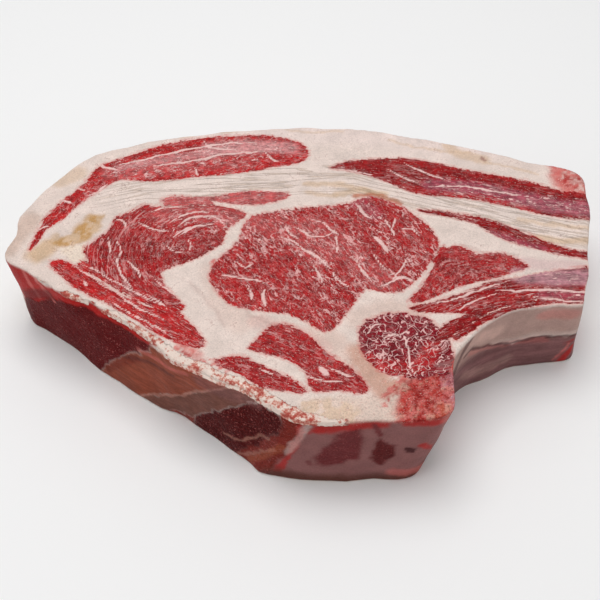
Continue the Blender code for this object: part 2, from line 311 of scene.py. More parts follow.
def lean_depth(plan):
    """How deep each point lies inside the nearest muscle, negative in the fat, and which muscle that is."""
    depth = np.full(len(plan), IN_FAT)
    which = np.zeros(len(plan), int)
    for number, name in enumerate(MUSCLES):
        close = near(plan, OUTLINES[name], -IN_FAT)
        found = inside_by(plan[close], OUTLINES[name])
        better = np.flatnonzero(close)[found > depth[close]]
        depth[better] = found[found > depth[close]]
        which[better] = number
    for name, half, line in LEAN_BRIDGES:
        _, side = beside(plan, line)
        found = half - np.abs(side)
        better = (found > depth) & (found > -BRIDGE_MARGIN)
        depth[better] = found[better]
        which[better] = MUSCLES.index(name)
    return depth, which


# The side wall: how far along the upper rim, at the corners of its path.
WALL_PATH = [
    (-132, 3), (-126.5, -4.8), (-118, -10.2), (-110, -16.1), (-101.4, -21.2), (-92.3, -25.3), (-79.5, -33),
    (-67.7, -42.3), (-53.5, -56.2), (-36, -66), (-18.5, -75), (-10.8, -81.4), (-1.7, -85.2), (18.2, -85.7),
    (38.2, -84.8), (53, -82.9), (58.5, -75.5), (58, -65.6), (62.1, -51.3), (68.2, -43.4), (75.1, -36.2),
    (83.7, -31.2), (93.2, -28.2), (103.1, -26.6), (114.5, -26.2), (118.5, -20), (121, -10.5),
]

# How wide the crumbly ridge is that the saw left along the front left edge.
RIDGE_WIDTH = [(14, 0.3), (30, 0.9), (60, 1.6), (80, 2.6), (100, 4.2), (130, 5.0), (158, 4.6), (172, 2.2),
               (184, 0.3)]


def crumb_share(points):
    """One on the crumbly saw ridge and nothing beside it."""
    along, side = beside(in_plan(warped(warped(points, 5.0, 1.2, 61), 1.8, 0.7, 67)), WALL_PATH)
    places, widths = np.array(RIDGE_WIDTH).T
    width = np.interp(along, places, widths)
    ends = smooth(14, 26, along) * (1 - smooth(168, 184, along))
    return ends * (1 - smooth(width - 0.8, width + 0.4, np.abs(side))) * smooth(43.5, 46.0, points[:, 2])


# The relief of the surface: how deep the seams, the lean, the unevenness and the crumbs sink in.

SEAM_DENT = 0.22
LEAN_DENT = 0.16
GRAIN_DENT = 0.22
SEAM_WIDTH = 0.7


def relief(points, normals):
    """How far each point of the surface sinks in."""
    upper = smooth(0.4, 0.8, normals[:, 2])
    depth, _ = lean_depth(in_plan(points))
    seam = np.exp(-((depth / SEAM_WIDTH) ** 2))
    lean = smooth(-0.3, 0.6, depth)
    grain = 0.5 + 0.5 * rough(points, 2.6, 3)
    crumbs = crumb_share(points) * (0.5 + 0.5 * rough(points, 2.4, 51))
    return upper * (SEAM_DENT * seam + LEAN_DENT * lean + GRAIN_DENT * grain) + crumbs


def cutter_of(name, tree, slab_normals, growth):
    """A node with its points on the slab's surface moved well out of it."""
    points, faces = node_points(name)
    normals = vertex_normals(points, faces)
    moved = points + growth * normals
    for place, point in enumerate(points):
        _, index, distance = tree.find(Vector(point))
        if distance < ON_SURFACE + VOXEL:
            moved[place] = point + THROUGH * slab_normals[index]
    return new_object(name + "_cutter", moved, faces)


def cut_pieces(slab):
    """Cuts the slab into one closed piece for each node and returns their meshes."""
    points = mesh_points(slab.data)
    slab_normals = vertex_normals(points, mesh_triangles(slab.data))
    tree = KDTree(len(points))
    for index, point in enumerate(points):
        tree.insert(Vector(point), index)
    tree.balance()
    meshes = {}
    for name in BONES + MUSCLES:
        growth = WALL_GROWTH if name in BONES else 0.0
        cutter = cutter_of(name, tree, slab_normals, growth)
        cut = slab.modifiers.new("cut", "BOOLEAN")
        cut.solver = "MANIFOLD"
        cut.object = cutter
        cut.operation = "INTERSECT"
        meshes[name] = with_modifiers(slab)
        cut.operation = "DIFFERENCE"
        rest = with_modifiers(slab)
        slab.modifiers.clear()
        slab.data = rest
        bpy.data.objects.remove(cutter)
    meshes["fat"] = slab.data
    return meshes


# Colours as they look in daylight, from 0 to 255, and as the shader needs them.


def colour(red, green, blue):
    shares = np.array([red, green, blue]) / 255
    return np.where(shares <= 0.04045, shares / 12.92, ((shares + 0.055) / 1.055) ** 2.4)


CREAM = colour(228, 210, 201)
CAP_CREAM = colour(232, 213, 206)
RED = colour(168, 26, 30)
DEEP_RED = colour(146, 16, 20)
BRIGHT_RED = colour(184, 30, 32)
VIVID_RED = colour(176, 24, 26)
PINK_RED = colour(196, 88, 88)
MAUVE = colour(170, 80, 96)
DARK_PURPLE = colour(130, 18, 32)
MARBLING_PINK = colour(248, 200, 196)
YELLOW_TAN = colour(194, 150, 98)
PALE_YELLOW = colour(206, 172, 136)
PALE_CREAM = colour(230, 212, 196)
TAN = colour(214, 184, 156)
ORANGE_BROWN = colour(186, 104, 70)
BLOOD = colour(174, 38, 36)
BLOOD_PINK = colour(212, 112, 106)
GREY_BROWN = colour(150, 104, 96)
BONE_CREAM = colour(226, 203, 190)
MARROW_RED = colour(196, 66, 60)
DARK_BONE = colour(98, 20, 22)
DARK_MARROW = colour(114, 50, 52)
LIGAMENT_BROWN = colour(144, 74, 56)
CARTILAGE_BROWN = colour(120, 77, 67)
RIB_PINK = colour(176, 140, 130)
RIB_BROWN = colour(128, 88, 88)
RIB_DARK = colour(80, 42, 43)
WALL_PINK = colour(140, 94, 92)
WALL_BROWN = colour(98, 58, 50)
CONNECTIVE = colour(204, 160, 142)
OLD_BONE = colour(82, 18, 18)
OVAL_BONE = colour(96, 36, 36)
PALE_MAUVE = colour(196, 144, 154)
TIP_FAT = colour(204, 178, 164)
RIB_PALE = colour(212, 174, 162)
SPECK_PINK = colour(150, 60, 56)
VEIN_PINK = colour(244, 208, 202)
WARM_CREAM = colour(222, 194, 170)
MARROW_DARK = colour(158, 40, 38)
PALE_PINK = colour(214, 148, 148)
GRAIN_PINK = colour(186, 104, 100)
CORNER_ORANGE = colour(204, 104, 82)
CRUMB_RED = colour(182, 84, 74)
CRUMB_PINK = colour(216, 152, 136)
# The white of the crumbs, also used for the painted highlights (glints).
CRUMB_AND_GLINT_WHITE = colour(240, 220, 208)
RUST = colour(126, 44, 36)
CUT_LINE = colour(172, 118, 104)

# The lean of each muscle: its colour, the strengths of its network of marbling, of the streaks along its
# fibres and of its worm-like lines, the line that its fibres follow, and how long a cell of marbling is along
# them and across them.
LEAN = {
    "eye_muscle": (RED, (0.8, 0.6, 0.1), [(-40, 50), (40, -60)], 4.2, 2.3),
    "shoulder_muscle": (RED, (0.55, 0.6, 0.1), None, 5.5, 2.1),
    "upper_strip": (PINK_RED, (0.5, 0.9, 0.0), [(-70, 34), (-40, 36), (-5, 39)], 5.0, 1.8),
    "edge_strip": (BRIGHT_RED, (0.35, 0.8, 0.0), [(-112, -2), (-90, -17), (-42, -50)], 7.0, 1.8),
    "cap_muscle_left": (
        BRIGHT_RED, (0.45, 0.55, 0.0),
        [(-121, 4), (-115, 22), (-104, 40), (-94, 50), (-80, 57), (-60, 62), (-30, 67), (2, 70)], 3.4, 2.2,
    ),
    "cap_muscle_right": (
        DEEP_RED, (0.25, 0.7, 0.0), [(8, 58), (40, 54), (60, 49), (90, 41), (136, 30)], 6.0, 1.9,
    ),
    "thin_strip": (DEEP_RED, (0.2, 0.8, 0.0), [(50, 29), (84, 20), (104, 8), (136, -1)], 7.0, 1.6),
    "side_muscle": (RED, (0.5, 0.45, 0.1), [(44, -26), (62, -6), (96, -4)], 3.4, 2.2),
    "rib_muscle": (
        DEEP_RED, (0.25, 0.7, 0.0), [(43, -34), (60, -27), (80, -21), (98, -17), (136, -16)], 8.0, 1.8,
    ),
    "round_muscle": (DARK_PURPLE, (0.25, 0.2, 1.0), [(20, -46), (52, -46)], 3.0, 3.0),
    "inner_muscle": (RED, (0.35, 0.65, 0.1), [(-24, -46), (24, -72)], 4.5, 2.0),
    "front_strip": (RED, (0.3, 0.55, 0.0), [(-40, -56), (0, -72)], 4.5, 1.9),
}
WHORL = (-46.0, 3.0)  # the centre that the fibres of the shoulder muscle circle
WHORL_LENGTH = 26.0  # what one radian round it counts for along the fibres
CELL_HEIGHT = 9.0  # how high a cell of marbling is
MUSCLES_APART = 7.0  # keeps the marbling of one muscle unlike the next one's
SKIN_HIDES = 20.0  # how far skin or bone over the side wall pushes the lean down

# The line that the layers of the fat band follow.
FAT_LAYERS = [
    (-118, 20), (-100, 38), (-75, 46), (-40, 48), (0, 50), (22, 50), (45, 42), (60, 36), (90, 26), (130, 15),
]

# Where there is more fat in the lean, or less: by how much, half the width and the line.
PALE_BANDS = [
    (1.2, 5.5, [(-88, 57), (-70, 61), (-50, 64), (-30, 69), (-8, 70)]),
    (0.6, 4.0, [(-84, 53), (-66, 54), (-48, 58), (-26, 62)]),
    (-0.5, 3.0, [(-121, 8), (-117, 22), (-107, 38), (-97, 57), (-84, 64), (-58, 74), (-24, 78)]),
    (0.9, 4.5, [(-32, 15), (-18, 8), (-6, 2), (4, -6), (10, -14)]),
    (0.9, 3.5, [(26, 33), (30, 24), (34, 12), (40, 2), (46, -8)]),
    (0.7, 5.0, [(18, 4), (24, -8), (38, -14)]),
    (0.5, 3.0, [(-14, 24), (-4, 14), (6, 6)]),
    (-0.4, 4.0, [(-34, -20), (-22, -27), (-4, -32)]),
    (-0.4, 4.0, [(44, 28), (52, 18), (55, 6)]),
    (0.7, 5.0, [(-62, 20), (-52, 26), (-42, 24), (-36, 18)]),
    (-0.3, 7.0, [(-84, 8), (-64, 4), (-52, 2)]),
    (0.7, 4.0, [(62, 42), (90, 37), (130, 31)]),
    (-0.6, 4.0, [(24, 61), (60, 58), (100, 47), (130, 38)]),
    (0.6, 3.0, [(104, -11), (134, -11)]),
    (0.5, 3.0, [(96, -21), (134, -21)]),
    (0.8, 4.0, [(52, -42), (56, -52)]),
]

# Bands of another tone in the lean: the colour, the strength, half the width and the line that each follows.
LEAN_BANDS = [
    (
        VIVID_RED, 0.9, 2.8,
        [(-121, 8), (-117, 22), (-107, 38), (-97, 56), (-84, 63), (-72, 68.5), (-58, 73), (-40, 76),
         (-24, 77), (-10, 75.5)],
    ),
    (PINK_RED, 0.75, 4.0, [(-92, 53), (-78, 57), (-60, 61), (-40, 67), (-20, 70), (-6, 70)]),
    (PALE_PINK, 0.6, 2.2, [(-88, 57), (-72, 61), (-54, 65), (-36, 69), (-18, 71)]),
    (PINK_RED, 0.4, 2.5, [(-88, 52), (-72, 53), (-56, 55), (-40, 58), (-24, 61)]),
    (VIVID_RED, 0.4, 2.0, [(24, 61), (50, 60), (76, 55), (104, 46), (128, 39)]),
    (BRIGHT_RED, 0.6, 3.0, [(48, 30), (55, 18), (56, 6)]),
    (PALE_PINK, 0.75, 4.5, [(-46, 69), (-28, 72), (-8, 71)]),
    (PALE_MAUVE, 0.45, 3.5, [(96, 34), (112, 31), (132, 28)]),
    (PINK_RED, 0.5, 1.6, [(-100, 37), (-92, 45), (-84, 50)]),
    (MAUVE, 0.8, 4.5, [(58, 45), (76, 43), (96, 37), (112, 32), (130, 30)]),
    (BRIGHT_RED, 0.6, 2.2, [(46, 44), (62, 39), (82, 36), (100, 29)]),
    (PINK_RED, 0.5, 6.0, [(-34, 22), (-18, 20), (-4, 12), (6, 0)]),
    (PINK_RED, 0.5, 6.0, [(2, 20), (14, 10), (24, -6), (32, -14)]),
    (MAUVE, 0.45, 4.0, [(24, 34), (30, 26)]),
    (DEEP_RED, 0.75, 7.0, [(-86, 6), (-72, 6), (-62, 4), (-54, 2)]),
    (PINK_RED, 0.55, 5.0, [(-66, 27), (-52, 27), (-40, 26), (-34, 24)]),
    (DEEP_RED, 0.7, 3.0, [(-42, 6), (-40, 12)]),
    (PALE_MAUVE, 0.8, 4.5, [(92, -10), (106, -11), (134, -11)]),
    (BRIGHT_RED, 0.5, 2.5, [(52, -30), (66, -27), (84, -22), (98, -20)]),
    (MAUVE, 0.6, 2.5, [(100, -21), (130, -22)]),
    (MAUVE, 0.6, 2.0, [(82, 15), (96, 8), (104, 5)]),
    (BRIGHT_RED, 0.7, 3.5, [(24, -55), (34, -60), (46, -58), (51, -50)]),
    (DEEP_RED, 0.5, 5.0, [(62, -4), (72, -8)]),
    (BRIGHT_RED, 0.5, 4.0, [(-34, -14), (-26, -24), (-8, -28), (8, -36)]),
]

# White veins of fat in the lean: half the width, and the line that each follows.
VEINS = [
    (0.6, [(-58, 19), (-54, 23.5), (-48, 26), (-42, 25.5), (-38.5, 22), (-36, 19)]),
    (0.4, [(-62, 21), (-57, 25.5), (-50, 28.5), (-43, 28)]),
    (0.5, [(-56, 14), (-52, 18), (-47, 20.5), (-41, 21)]),
    (0.4, [(-70, 28), (-64, 31), (-56, 32)]),
    (0.3, [(-60, 12), (-56, 16), (-52, 19)]),
    (0.4, [(-86, 24), (-82, 22), (-81, 17)]),
    (0.5, [(-84, 1), (-82, -5), (-79, -11), (-76, -15), (-74.5, -17)]),
    (0.45, [(-79, 0), (-76, -4), (-73, -8), (-71.5, -12)]),
    (0.35, [(-88, 12), (-87, 6), (-86, 2)]),
    (0.35, [(-84, 10), (-82, 4), (-83, 0)]),
    (0.35, [(-66, -12), (-62, -16), (-58, -18)]),
    (0.3, [(-60, -17), (-55, -22), (-52, -26)]),
    (0.35, [(-52, 12), (-51, 8), (-52, 4)]),
    (0.3, [(-62, 8), (-58, 4), (-54, 3)]),
    (0.35, [(-76, 22), (-70, 18), (-62, 16)]),
    (0.5, [(-102, -4), (-95, -9), (-86, -16), (-77, -23.5), (-68, -30), (-60, -35)]),
    (0.4, [(-98, -3), (-89, -8.5), (-80, -15), (-70, -22), (-62, -27)]),
    (0.3, [(-84, -24), (-74, -31), (-64, -38), (-56, -43)]),
    (0.35, [(-70, -20), (-64, -24), (-58, -30)]),
    (0.8, [(-96, -13), (-94.5, -15.5)]),
    (0.8, [(-12, 12), (-6, 9), (-2, 5), (3, 1), (8, -4), (12, -8)]),
    (0.5, [(-10, 20), (-8, 14), (-3, 10.5)]),
    (0.45, [(-8, 20), (-2, 16), (2, 12.5), (8, 12), (12, 15)]),
    (0.45, [(2, 22), (8, 20), (12, 15), (14, 12)]),
    (0.45, [(13, 12), (14, 6), (13, 1)]),
    (1.0, [(22, 33), (25, 28), (29, 23)]),
    (1.5, [(30, 12), (33, 8), (36, 3)]),
    (0.4, [(34, 24), (38, 17), (39, 12)]),
    (0.45, [(40, 24), (38.5, 18)]),
    (0.4, [(42, 17), (47, 17), (50, 13)]),
    (0.5, [(-38, -9), (-30, -11), (-24, -12), (-18, -14)]),
    (0.45, [(-26, -16), (-24, -21), (-24, -26)]),
    (0.9, [(-18, -18), (-19, -21), (-17, -28)]),
    (0.3, [(-30, -2), (-27, -5), (-24, -3)]),
    (0.4, [(10, -8), (14, -14), (18, -18)]),
    (0.4, [(2, -3), (5, -10), (7, -16)]),
    (0.5, [(20, 0), (24, -8), (28, -15)]),
    (0.4, [(28, 2), (33, -6), (38, -12)]),
    (0.4, [(44, 0), (40, -8), (36, -14)]),
    (0.7, [(31, -17), (36, -14), (42, -12), (46, -14)]),
    (0.6, [(47, -26), (56, -23.5), (64, -20)]),
    (0.5, [(55, -26), (66, -22), (76, -17), (86, -13.5)]),
    (0.7, [(80, -18.5), (100, -18.3), (130, -19.5)]),
    (0.5, [(96, -22), (106, -23.5), (126, -25)]),
    (0.35, [(62, -30), (70, -25), (80, -20.5)]),
    (0.8, [(-72, 58), (-62, 59.5), (-50, 62), (-40, 65), (-28, 67), (-20, 68)]),
    (0.8, [(-20, 68), (-17, 64), (-13, 61)]),
    (0.6, [(-100, 38), (-92, 46)]),
    (0.55, [(-53, 57), (-51.5, 53), (-50, 51.5)]),
    (0.5, [(-49, 76), (-47, 71), (-42, 69), (-34, 69)]),
    (0.4, [(38, 57), (44, 52), (52, 46)]),
    (0.5, [(56, 45), (75, 44), (90, 40), (105, 37)]),
    (2.0, [(5, -59), (8, -63)]),
    (0.9, [(-98, 60.5), (-93, 57), (-88, 55)]),
    (0.55, [(-90, 58), (-78, 62), (-66, 66), (-52, 70.5), (-38, 73), (-24, 74)]),
    (0.5, [(-113, 36), (-107, 33)]),
    (0.5, [(-120, 17), (-115, 19)]),
    (0.35, [(-109, 44), (-100, 41)]),
    (0.5, [(10, -60), (18, -64)]),
    (0.45, [(40, -44), (41.5, -50), (41, -57), (43.5, -64)]),
    (0.35, [(24, -42), (27, -38), (31, -37)]),
    (0.35, [(30, -46), (34, -43), (39, -42), (42, -38)]),
    (0.5, [(46, 61), (52, 56), (58, 52), (66, 48)]),
    (0.4, [(8, 57), (20, 56), (32, 52)]),
    (0.5, [(0, -64), (8, -66), (14, -66)]),
    (0.4, [(-20, -60), (-13, -64)]),
]

# Tones of the fat from one face to the other: the colour, the strength, half the width and the line of each.
FAT_TONES = [
    (TIP_FAT, 0.8, 5.0, [(-131, 6), (-128, 14), (-124, 22)]),
    (CAP_CREAM, 0.9, 14.0, [(-60, 86), (-20, 90), (30, 86), (80, 74)]),
]
# Stains of the fat on the upper face: the same.
FAT_STAINS = [
    (PALE_YELLOW, 0.8, 5.0, [(-118, 2), (-114, 6)]),
    (TAN, 0.6, 4.0, [(-114, 47), (-106, 53)]),
    (CONNECTIVE, 0.3, 4.5, [(4, -40), (12, -46), (16, -56)]),
    (CONNECTIVE, 0.25, 6.0, [(22, -34), (34, -30), (44, -32)]),
    (BLOOD_PINK, 0.2, 4.0, [(-20, -36), (-4, -42), (6, -50)]),
    (CONNECTIVE, 0.2, 6.0, [(-40, -8), (-36, -24), (-28, -36)]),
    (TAN, 0.7, 1.5, [(0, 46), (15, 46), (25, 43), (33, 39)]),
    (TAN, 0.6, 1.2, [(0, 40), (14, 38)]),
    (TAN, 0.7, 1.6, [(14, 39), (26, 42), (36, 39.5)]),
    (ORANGE_BROWN, 0.8, 1.0, [(22, 38), (30, 39.6), (37, 37.2), (43, 33.4)]),
    (TAN, 0.8, 1.8, [(100, 12), (112, 10), (126, 10)]),
    (TAN, 0.6, 1.2, [(96, 23), (106, 20), (126, 18)]),
    (TAN, 0.7, 3.0, [(68, 72), (72, 66), (84, 62)]),
    (GREY_BROWN, 0.8, 0.8, [(83, 63), (84, 61.5)]),
    (BLOOD_PINK, 0.4, 6.5, [(124, 56), (123, 50), (124, 46)]),
    (BLOOD, 0.45, 0.8, [(114, 59), (121, 57), (127, 53)]),
    (BLOOD, 0.5, 0.8, [(115, 54), (121, 52), (127, 49)]),
    (BLOOD, 0.4, 0.7, [(117, 49), (123, 47.5), (128, 46)]),
    (TAN, 0.6, 0.5, [(40, 76), (52, 71), (66, 68), (78, 67)]),
    (TAN, 0.6, 0.5, [(84, 60), (96, 57), (108, 52)]),
    (TAN, 0.5, 0.5, [(-10, 84), (4, 82), (18, 83)]),
    (TAN, 0.5, 0.5, [(-60, 77), (-46, 81), (-34, 82)]),
    (PALE_MAUVE, 0.3, 3.0, [(76, -1), (96, -3), (118, -5)]),
    (GREY_BROWN, 0.25, 0.6, [(68, 8), (80, 2), (92, 2)]),
    (GREY_BROWN, 0.25, 0.6, [(-30, -20), (-24, -32), (-10, -40)]),
    (GREY_BROWN, 0.2, 0.6, [(-50, -14), (-40, -28), (-34, -38)]),
    (CONNECTIVE, 0.9, 5.5, [(22, -52), (26, -62), (32, -72)]),
    (BLOOD_PINK, 0.5, 2.0, [(-52, -48), (-44, -54)]),
    (BLOOD_PINK, 0.5, 3.0, [(-52, -58), (-42, -64), (-30, -72)]),
]
# Mottled patches of blood on the upper face: the colour, the size of its spots, half the width and the line.
BLOTCHES = [
    (BLOOD_PINK, 4.0, 8.5, [(122, 58), (122, 50), (123, 46)]),
    (BLOOD, 2.6, 6.5, [(124, 57), (123, 50), (125, 46)]),
    (BLOOD, 2.2, 3.0, [(50, -50), (53, -56), (52, -62)]),
    (BLOOD_PINK, 2.6, 4.0, [(38, -62), (34, -68), (32, -76)]),
    (BLOOD, 1.8, 2.0, [(38, -62), (35, -67), (33, -74)]),
    (BLOOD_PINK, 2.2, 1.6, [(58, -46), (60, -42), (64, -38)]),
    (BLOOD_PINK, 2.4, 2.2, [(-58, -46), (-44, -55), (-34, -62)]),
    (BLOOD, 1.8, 1.2, [(-50, -52), (-42, -56)]),
    (WARM_CREAM, 3.0, 6.0, [(-2, -80), (14, -81)]),
    (BLOOD_PINK, 2.2, 8.0, [(123, 57), (122, 50), (124, 46)]),
    (CONNECTIVE, 2.0, 5.0, [(32, -64), (38, -66), (46, -62)]),
    (CRUMB_PINK, 2.2, 6.0, [(38, -82), (50, -80), (54, -70)]),
    (PALE_MAUVE, 2.4, 3.4, [(54.5, -58), (56, -68), (57.5, -76)]),
    (PALE_MAUVE, 1.6, 3.0, [(54.5, -60), (56, -68), (57, -76)]),
    (BLOOD_PINK, 1.7, 10.0, [(46, -66), (50, -76), (44, -84)]),
    (MARROW_DARK, 2.4, 10.0, [(48, -64), (50, -76), (46, -84)]),
    (TAN, 3.0, 6.0, [(-96, 20), (-108, 10)]),
    (BLOOD_PINK, 2.0, 1.8, [(-40, -2), (-39, -12), (-36, -20)]),
]
TAN_PATCH = [
    (-113, 9), (-109, 12), (-105, 14), (-102, 20), (-97, 25.5), (-92, 25.5), (-92, 20), (-95, 13), (-99, 9),
    (-103, 6.5), (-107, 6.5),
]
PALE_PATCH = [(-109, 6), (-103, 6), (-98, 8), (-95, 4), (-96, -1), (-100, -3), (-104, -1), (-107, 2)]

# Areas of the upper face: the colour, how spongy it is, how soft its edge is and its outline.
FACE_AREAS = [
    (YELLOW_TAN, 0.0, 1.6, TAN_PATCH),
    (PALE_CREAM, 0.0, 0.9, PALE_PATCH),
    (
        BONE_CREAM, 0.35, 2.0,
        [(-8, -90), (-6, -80), (0, -75), (16, -73), (30, -74), (40, -68), (50, -60), (64, -60), (64, -92)],
    ),
    (
        MARROW_RED, 1.0, 2.2,
        [(33, -92), (35, -84), (34.5, -76), (37, -69), (42, -64), (47, -62), (50, -57), (56, -54),
         (64, -56), (64, -92)],
    ),
]
# Bands of another tint over them along the front rim: the colour, the strength, half the width and the line.
RIM_BANDS = [
    (PALE_MAUVE, 0.6, 2.2, [(54.5, -60), (56, -68), (57, -76)]),
    (CORNER_ORANGE, 0.7, 3.0, [(50, -82), (56, -79)]),
    (BLOOD, 0.7, 1.2, [(4, -86.2), (20, -86.5), (36, -86)]),
    (BLOOD, 0.7, 2.5, [(38, -86), (54, -84.5)]),
]

# Areas of the side wall: the same, with outlines along the rim and up.
WALL_AREAS = [
    (
        BLOOD, 0.1, 1.4,
        [(5, 52), (2.5, 40), (2, 29), (3, 18), (17, 24), (26, 31), (40, 40), (84, 42), (86, 46), (50, 48),
         (28, 45.5), (20, 44), (16, 52)],
    ),
    (
        DARK_BONE, 0.8, 1.0,
        [(1.5, -4), (2, 12), (4, 23), (17, 27), (24, 33), (30, 39), (38, 42.5), (62, 43), (74, 42.5),
         (85, 43), (80, 37), (70, 28), (61, 18), (53, 8), (48, -4)],
    ),
    (
        LIGAMENT_BROWN, 0.05, 0.8,
        [(48, -4), (53, 8), (61, 18), (70, 28), (80, 37), (85, 43), (92, 45.5), (100, 47), (126, 47),
         (112, 35.5), (104, 26.5), (98, 20), (90, 14), (81, 7), (72, 1), (66, -4)],
    ),
    (
        CARTILAGE_BROWN, 0.1, 0.6,
        [(66, -4), (72, 1), (81, 7), (90, 14), (98, 20), (104, 26.5), (112, 35.5), (126, 47), (139, 47),
         (132, 39.5), (124, 32), (116, 24), (109, 16), (104, 8), (95, 4.5), (88, 1), (84, -4)],
    ),
    (RUST, 0.5, 0.8, [(84, -4), (88, 1), (95, 4.5), (104, 8), (104, -4)]),
    (
        RUST, 0.7, 1.0,
        [(149, 48), (150, 40), (148, 33), (142, 26), (137, 18), (130, 9), (124, -4), (146, -4), (152, 18),
         (158, 36), (162, 48)],
    ),
    (
        OLD_BONE, 1.0, 1.0,
        [(103, -4), (104, 8), (109, 16), (116, 24), (124, 32), (132, 39.5), (139, 45), (149, 45), (151, 40),
         (149, 33), (143, 26), (138.5, 18), (131, 9), (125, -4)],
    ),
    (WALL_PINK, 0.1, 1.0, [(160, 50), (157, 36), (150, 18), (143, -4), (234, -4), (234, 50)]),
    (
        DARK_MARROW, 0.5, 1.8,
        [(172, 40), (177, 43), (182, 44), (182, 32), (181, 20), (175, 15), (166, 13.5), (163.5, 20),
         (167, 27), (171, 33)],
    ),
    (
        OVAL_BONE, 0.5, 1.1,
        [(186.5, 19), (188, 30), (190, 35), (192, 32), (195.5, 28), (196, 20), (192, 14), (188, 14)],
    ),
    (RIB_DARK, 0.0, 0.5, [(199.5, 26.5), (204.5, 26.5), (203, 22.5), (200.5, 22.5)]),
    (
        RIB_BROWN, 0.0, 0.8,
        [(244, -4), (245, 30), (251, 35), (258, 33), (263, 34), (268, 31), (276, 26), (283, 22), (300, 22),
         (318, 21), (318, -4)],
    ),
    (BLOOD, 0.2, 0.5, [(314, 17), (311, 4), (309.5, -4), (330, -4), (330, 17)]),
]

# Bands of another tint on the side wall, with a painted highlight and a painted crease shade among them: the
# colour, the strength, half the width and the line of each.
WALL_BANDS = [
    (VIVID_RED, 0.85, 2.2, [(3.5, 47), (4.5, 38), (6, 30)]),
    (VIVID_RED, 0.4, 2.2, [(10, 42), (13, 34)]),
    (BLOOD_PINK, 0.7, 0.8, [(13, 46), (15, 38), (19, 31)]),
    (BLOOD_PINK, 0.8, 1.0, [(20, 46), (24, 40), (28, 35)]),
    (DARK_BONE, 0.7, 3.0, [(9, 26), (16, 32), (26, 38)]),
    (DARK_BONE, 0.4, 2.0, [(54, 6), (64, 18), (74, 27)]),
    (BLOOD_PINK, 0.4, 1.2, [(76, 35), (92, 38), (104, 42)]),
    (RIB_DARK, 0.5, 0.8, [(66, 23), (80, 30), (96, 34)]),
    (CUT_LINE, 0.8, 0.45, [(68, -2), (81, 7), (98, 20), (112, 35.5), (125, 46)]),
    (CUT_LINE, 0.7, 0.5, [(120, 10), (130, 14), (139, 24), (144, 27)]),
    (CUT_LINE, 0.6, 0.6, [(128, 2), (136, 10), (147, 22)]),
    (ORANGE_BROWN, 0.35, 1.6, [(134, 4), (142, 13), (150, 26)]),
    (BLOOD, 0.8, 1.2, [(148, 6), (153, 20), (157, 34), (158, 44)]),
    (RIB_PINK, 0.9, 14.0, [(250, 42), (280, 38), (320, 36)]),
    (CREAM, 0.35, 1.2, [(250, 47.5), (280, 47.5), (318, 47.5)]),
    (BLOOD_PINK, 0.35, 3.5, [(296, 40), (307, 41)]),
    (BLOOD_PINK, 0.3, 2.0, [(262, 31), (276, 24), (300, 20)]),
    (RIB_BROWN, 1.0, 9.0, [(250, 8), (262, 14), (280, 8), (318, 8)]),
    (RIB_PALE, 0.8, 4.0, [(256, 46), (264, 40), (274, 36)]),
    # Painted shade: a thin dark line along the fold of the rib wall, where shade falls in the crease.
    (RIB_DARK, 0.75, 0.8, [(316, 21.3), (300, 22), (283, 22.3), (276, 25.5), (268, 30), (262, 34),
                           (257, 33)]),
    (RIB_DARK, 0.7, 2.6, [(245, 22), (249, 32), (254, 42), (258, 49)]),
    (RIB_DARK, 0.5, 2.5, [(262, -2), (290, -1), (318, 0)]),
    (RIB_PINK, 0.35, 3.0, [(262, 14), (272, 9), (284, 10)]),
    (WALL_BROWN, 1.0, 8.5, [(150, -1), (190, -3), (226, 1)]),
    (BLOOD, 0.85, 3.0, [(165, 42), (173, 44.5), (190, 45.5)]),
    (BLOOD, 0.5, 1.2, [(161, 39), (166, 42)]),
    (DARK_MARROW, 0.9, 0.9, [(186.5, 44.5), (188, 41), (189.5, 37)]),
    (BLOOD, 0.85, 2.4, [(200, 46), (212, 44.5)]),
    (BLOOD, 0.8, 1.2, [(207, 28), (212, 22), (216, 15), (214, 6)]),
    (BLOOD_PINK, 0.5, 2.5, [(196, 8), (212, 4)]),
    # Painted highlight: a pale band down the corner of the wall where light catches it.
    (CREAM, 0.5, 4.0, [(221, 36), (225, 20)]),
    (BLOOD_PINK, 0.6, 3.0, [(216, 44), (226, 38)]),
    (CREAM, 0.35, 1.5, [(160, 44), (157, 34), (152, 22)]),
    (DARK_MARROW, 0.6, 0.8, [(161, 17), (162, 15)]),
    (WALL_PINK, 0.5, 4.5, [(112, 42), (124, 41), (136, 45)]),
    (BLOOD, 0.9, 1.2, [(313.5, -1), (314.5, 5), (316.5, 11)]),
    (BLOOD_PINK, 0.6, 0.3, [(310, -1), (312, 6), (314.5, 15)]),
]


def banded(points, base, bands, across):
    """The base colour with soft bands of other colours over it, ragged at their edges."""
    painted = base.copy()
    place = across(warped(warped(points, 3.0, 0.7, 11), 1.4, 0.35, 17))
    for tint, strength, half, line in bands:
        close = near(place, line, 2 * half + 2)
        _, side = beside(place[close], line)
        share = strength * (1 - smooth(0.55 * half, 1.35 * half + 0.5, np.abs(side)))
        painted[close] += share[:, None] * (tint - painted[close])
    return painted


def blotched(points, painted):
    """The colours with mottled patches of blood over them."""
    place = in_plan(warped(points, 3.0, 1.0, 81))
    for number, (tint, size, half, line) in enumerate(BLOTCHES):
        close = near(place, line, 2 * half)
        _, side = beside(place[close], line)
        spots = smooth(-0.02, 0.22, rough(points[close], size, 91 + number))
        share = 0.85 * spots * (1 - smooth(0.6 * half, 1.3 * half, np.abs(side)))
        painted[close] += share[:, None] * (tint - painted[close])
    return painted


def on_wall(points):
    along, _ = beside(in_plan(points), WALL_PATH)
    return np.stack([along, points[:, 2]], 1)


def areas_over(place, painted, spongy, areas):
    """Paints areas over the colours and the sponginess so far."""
    for tint, sponge, softness, outline in areas:
        share = smooth(-softness, softness, inside_by(place, outline))
        painted = painted + share[:, None] * (tint - painted)
        spongy = spongy + share * (sponge - spongy)
    return painted, spongy


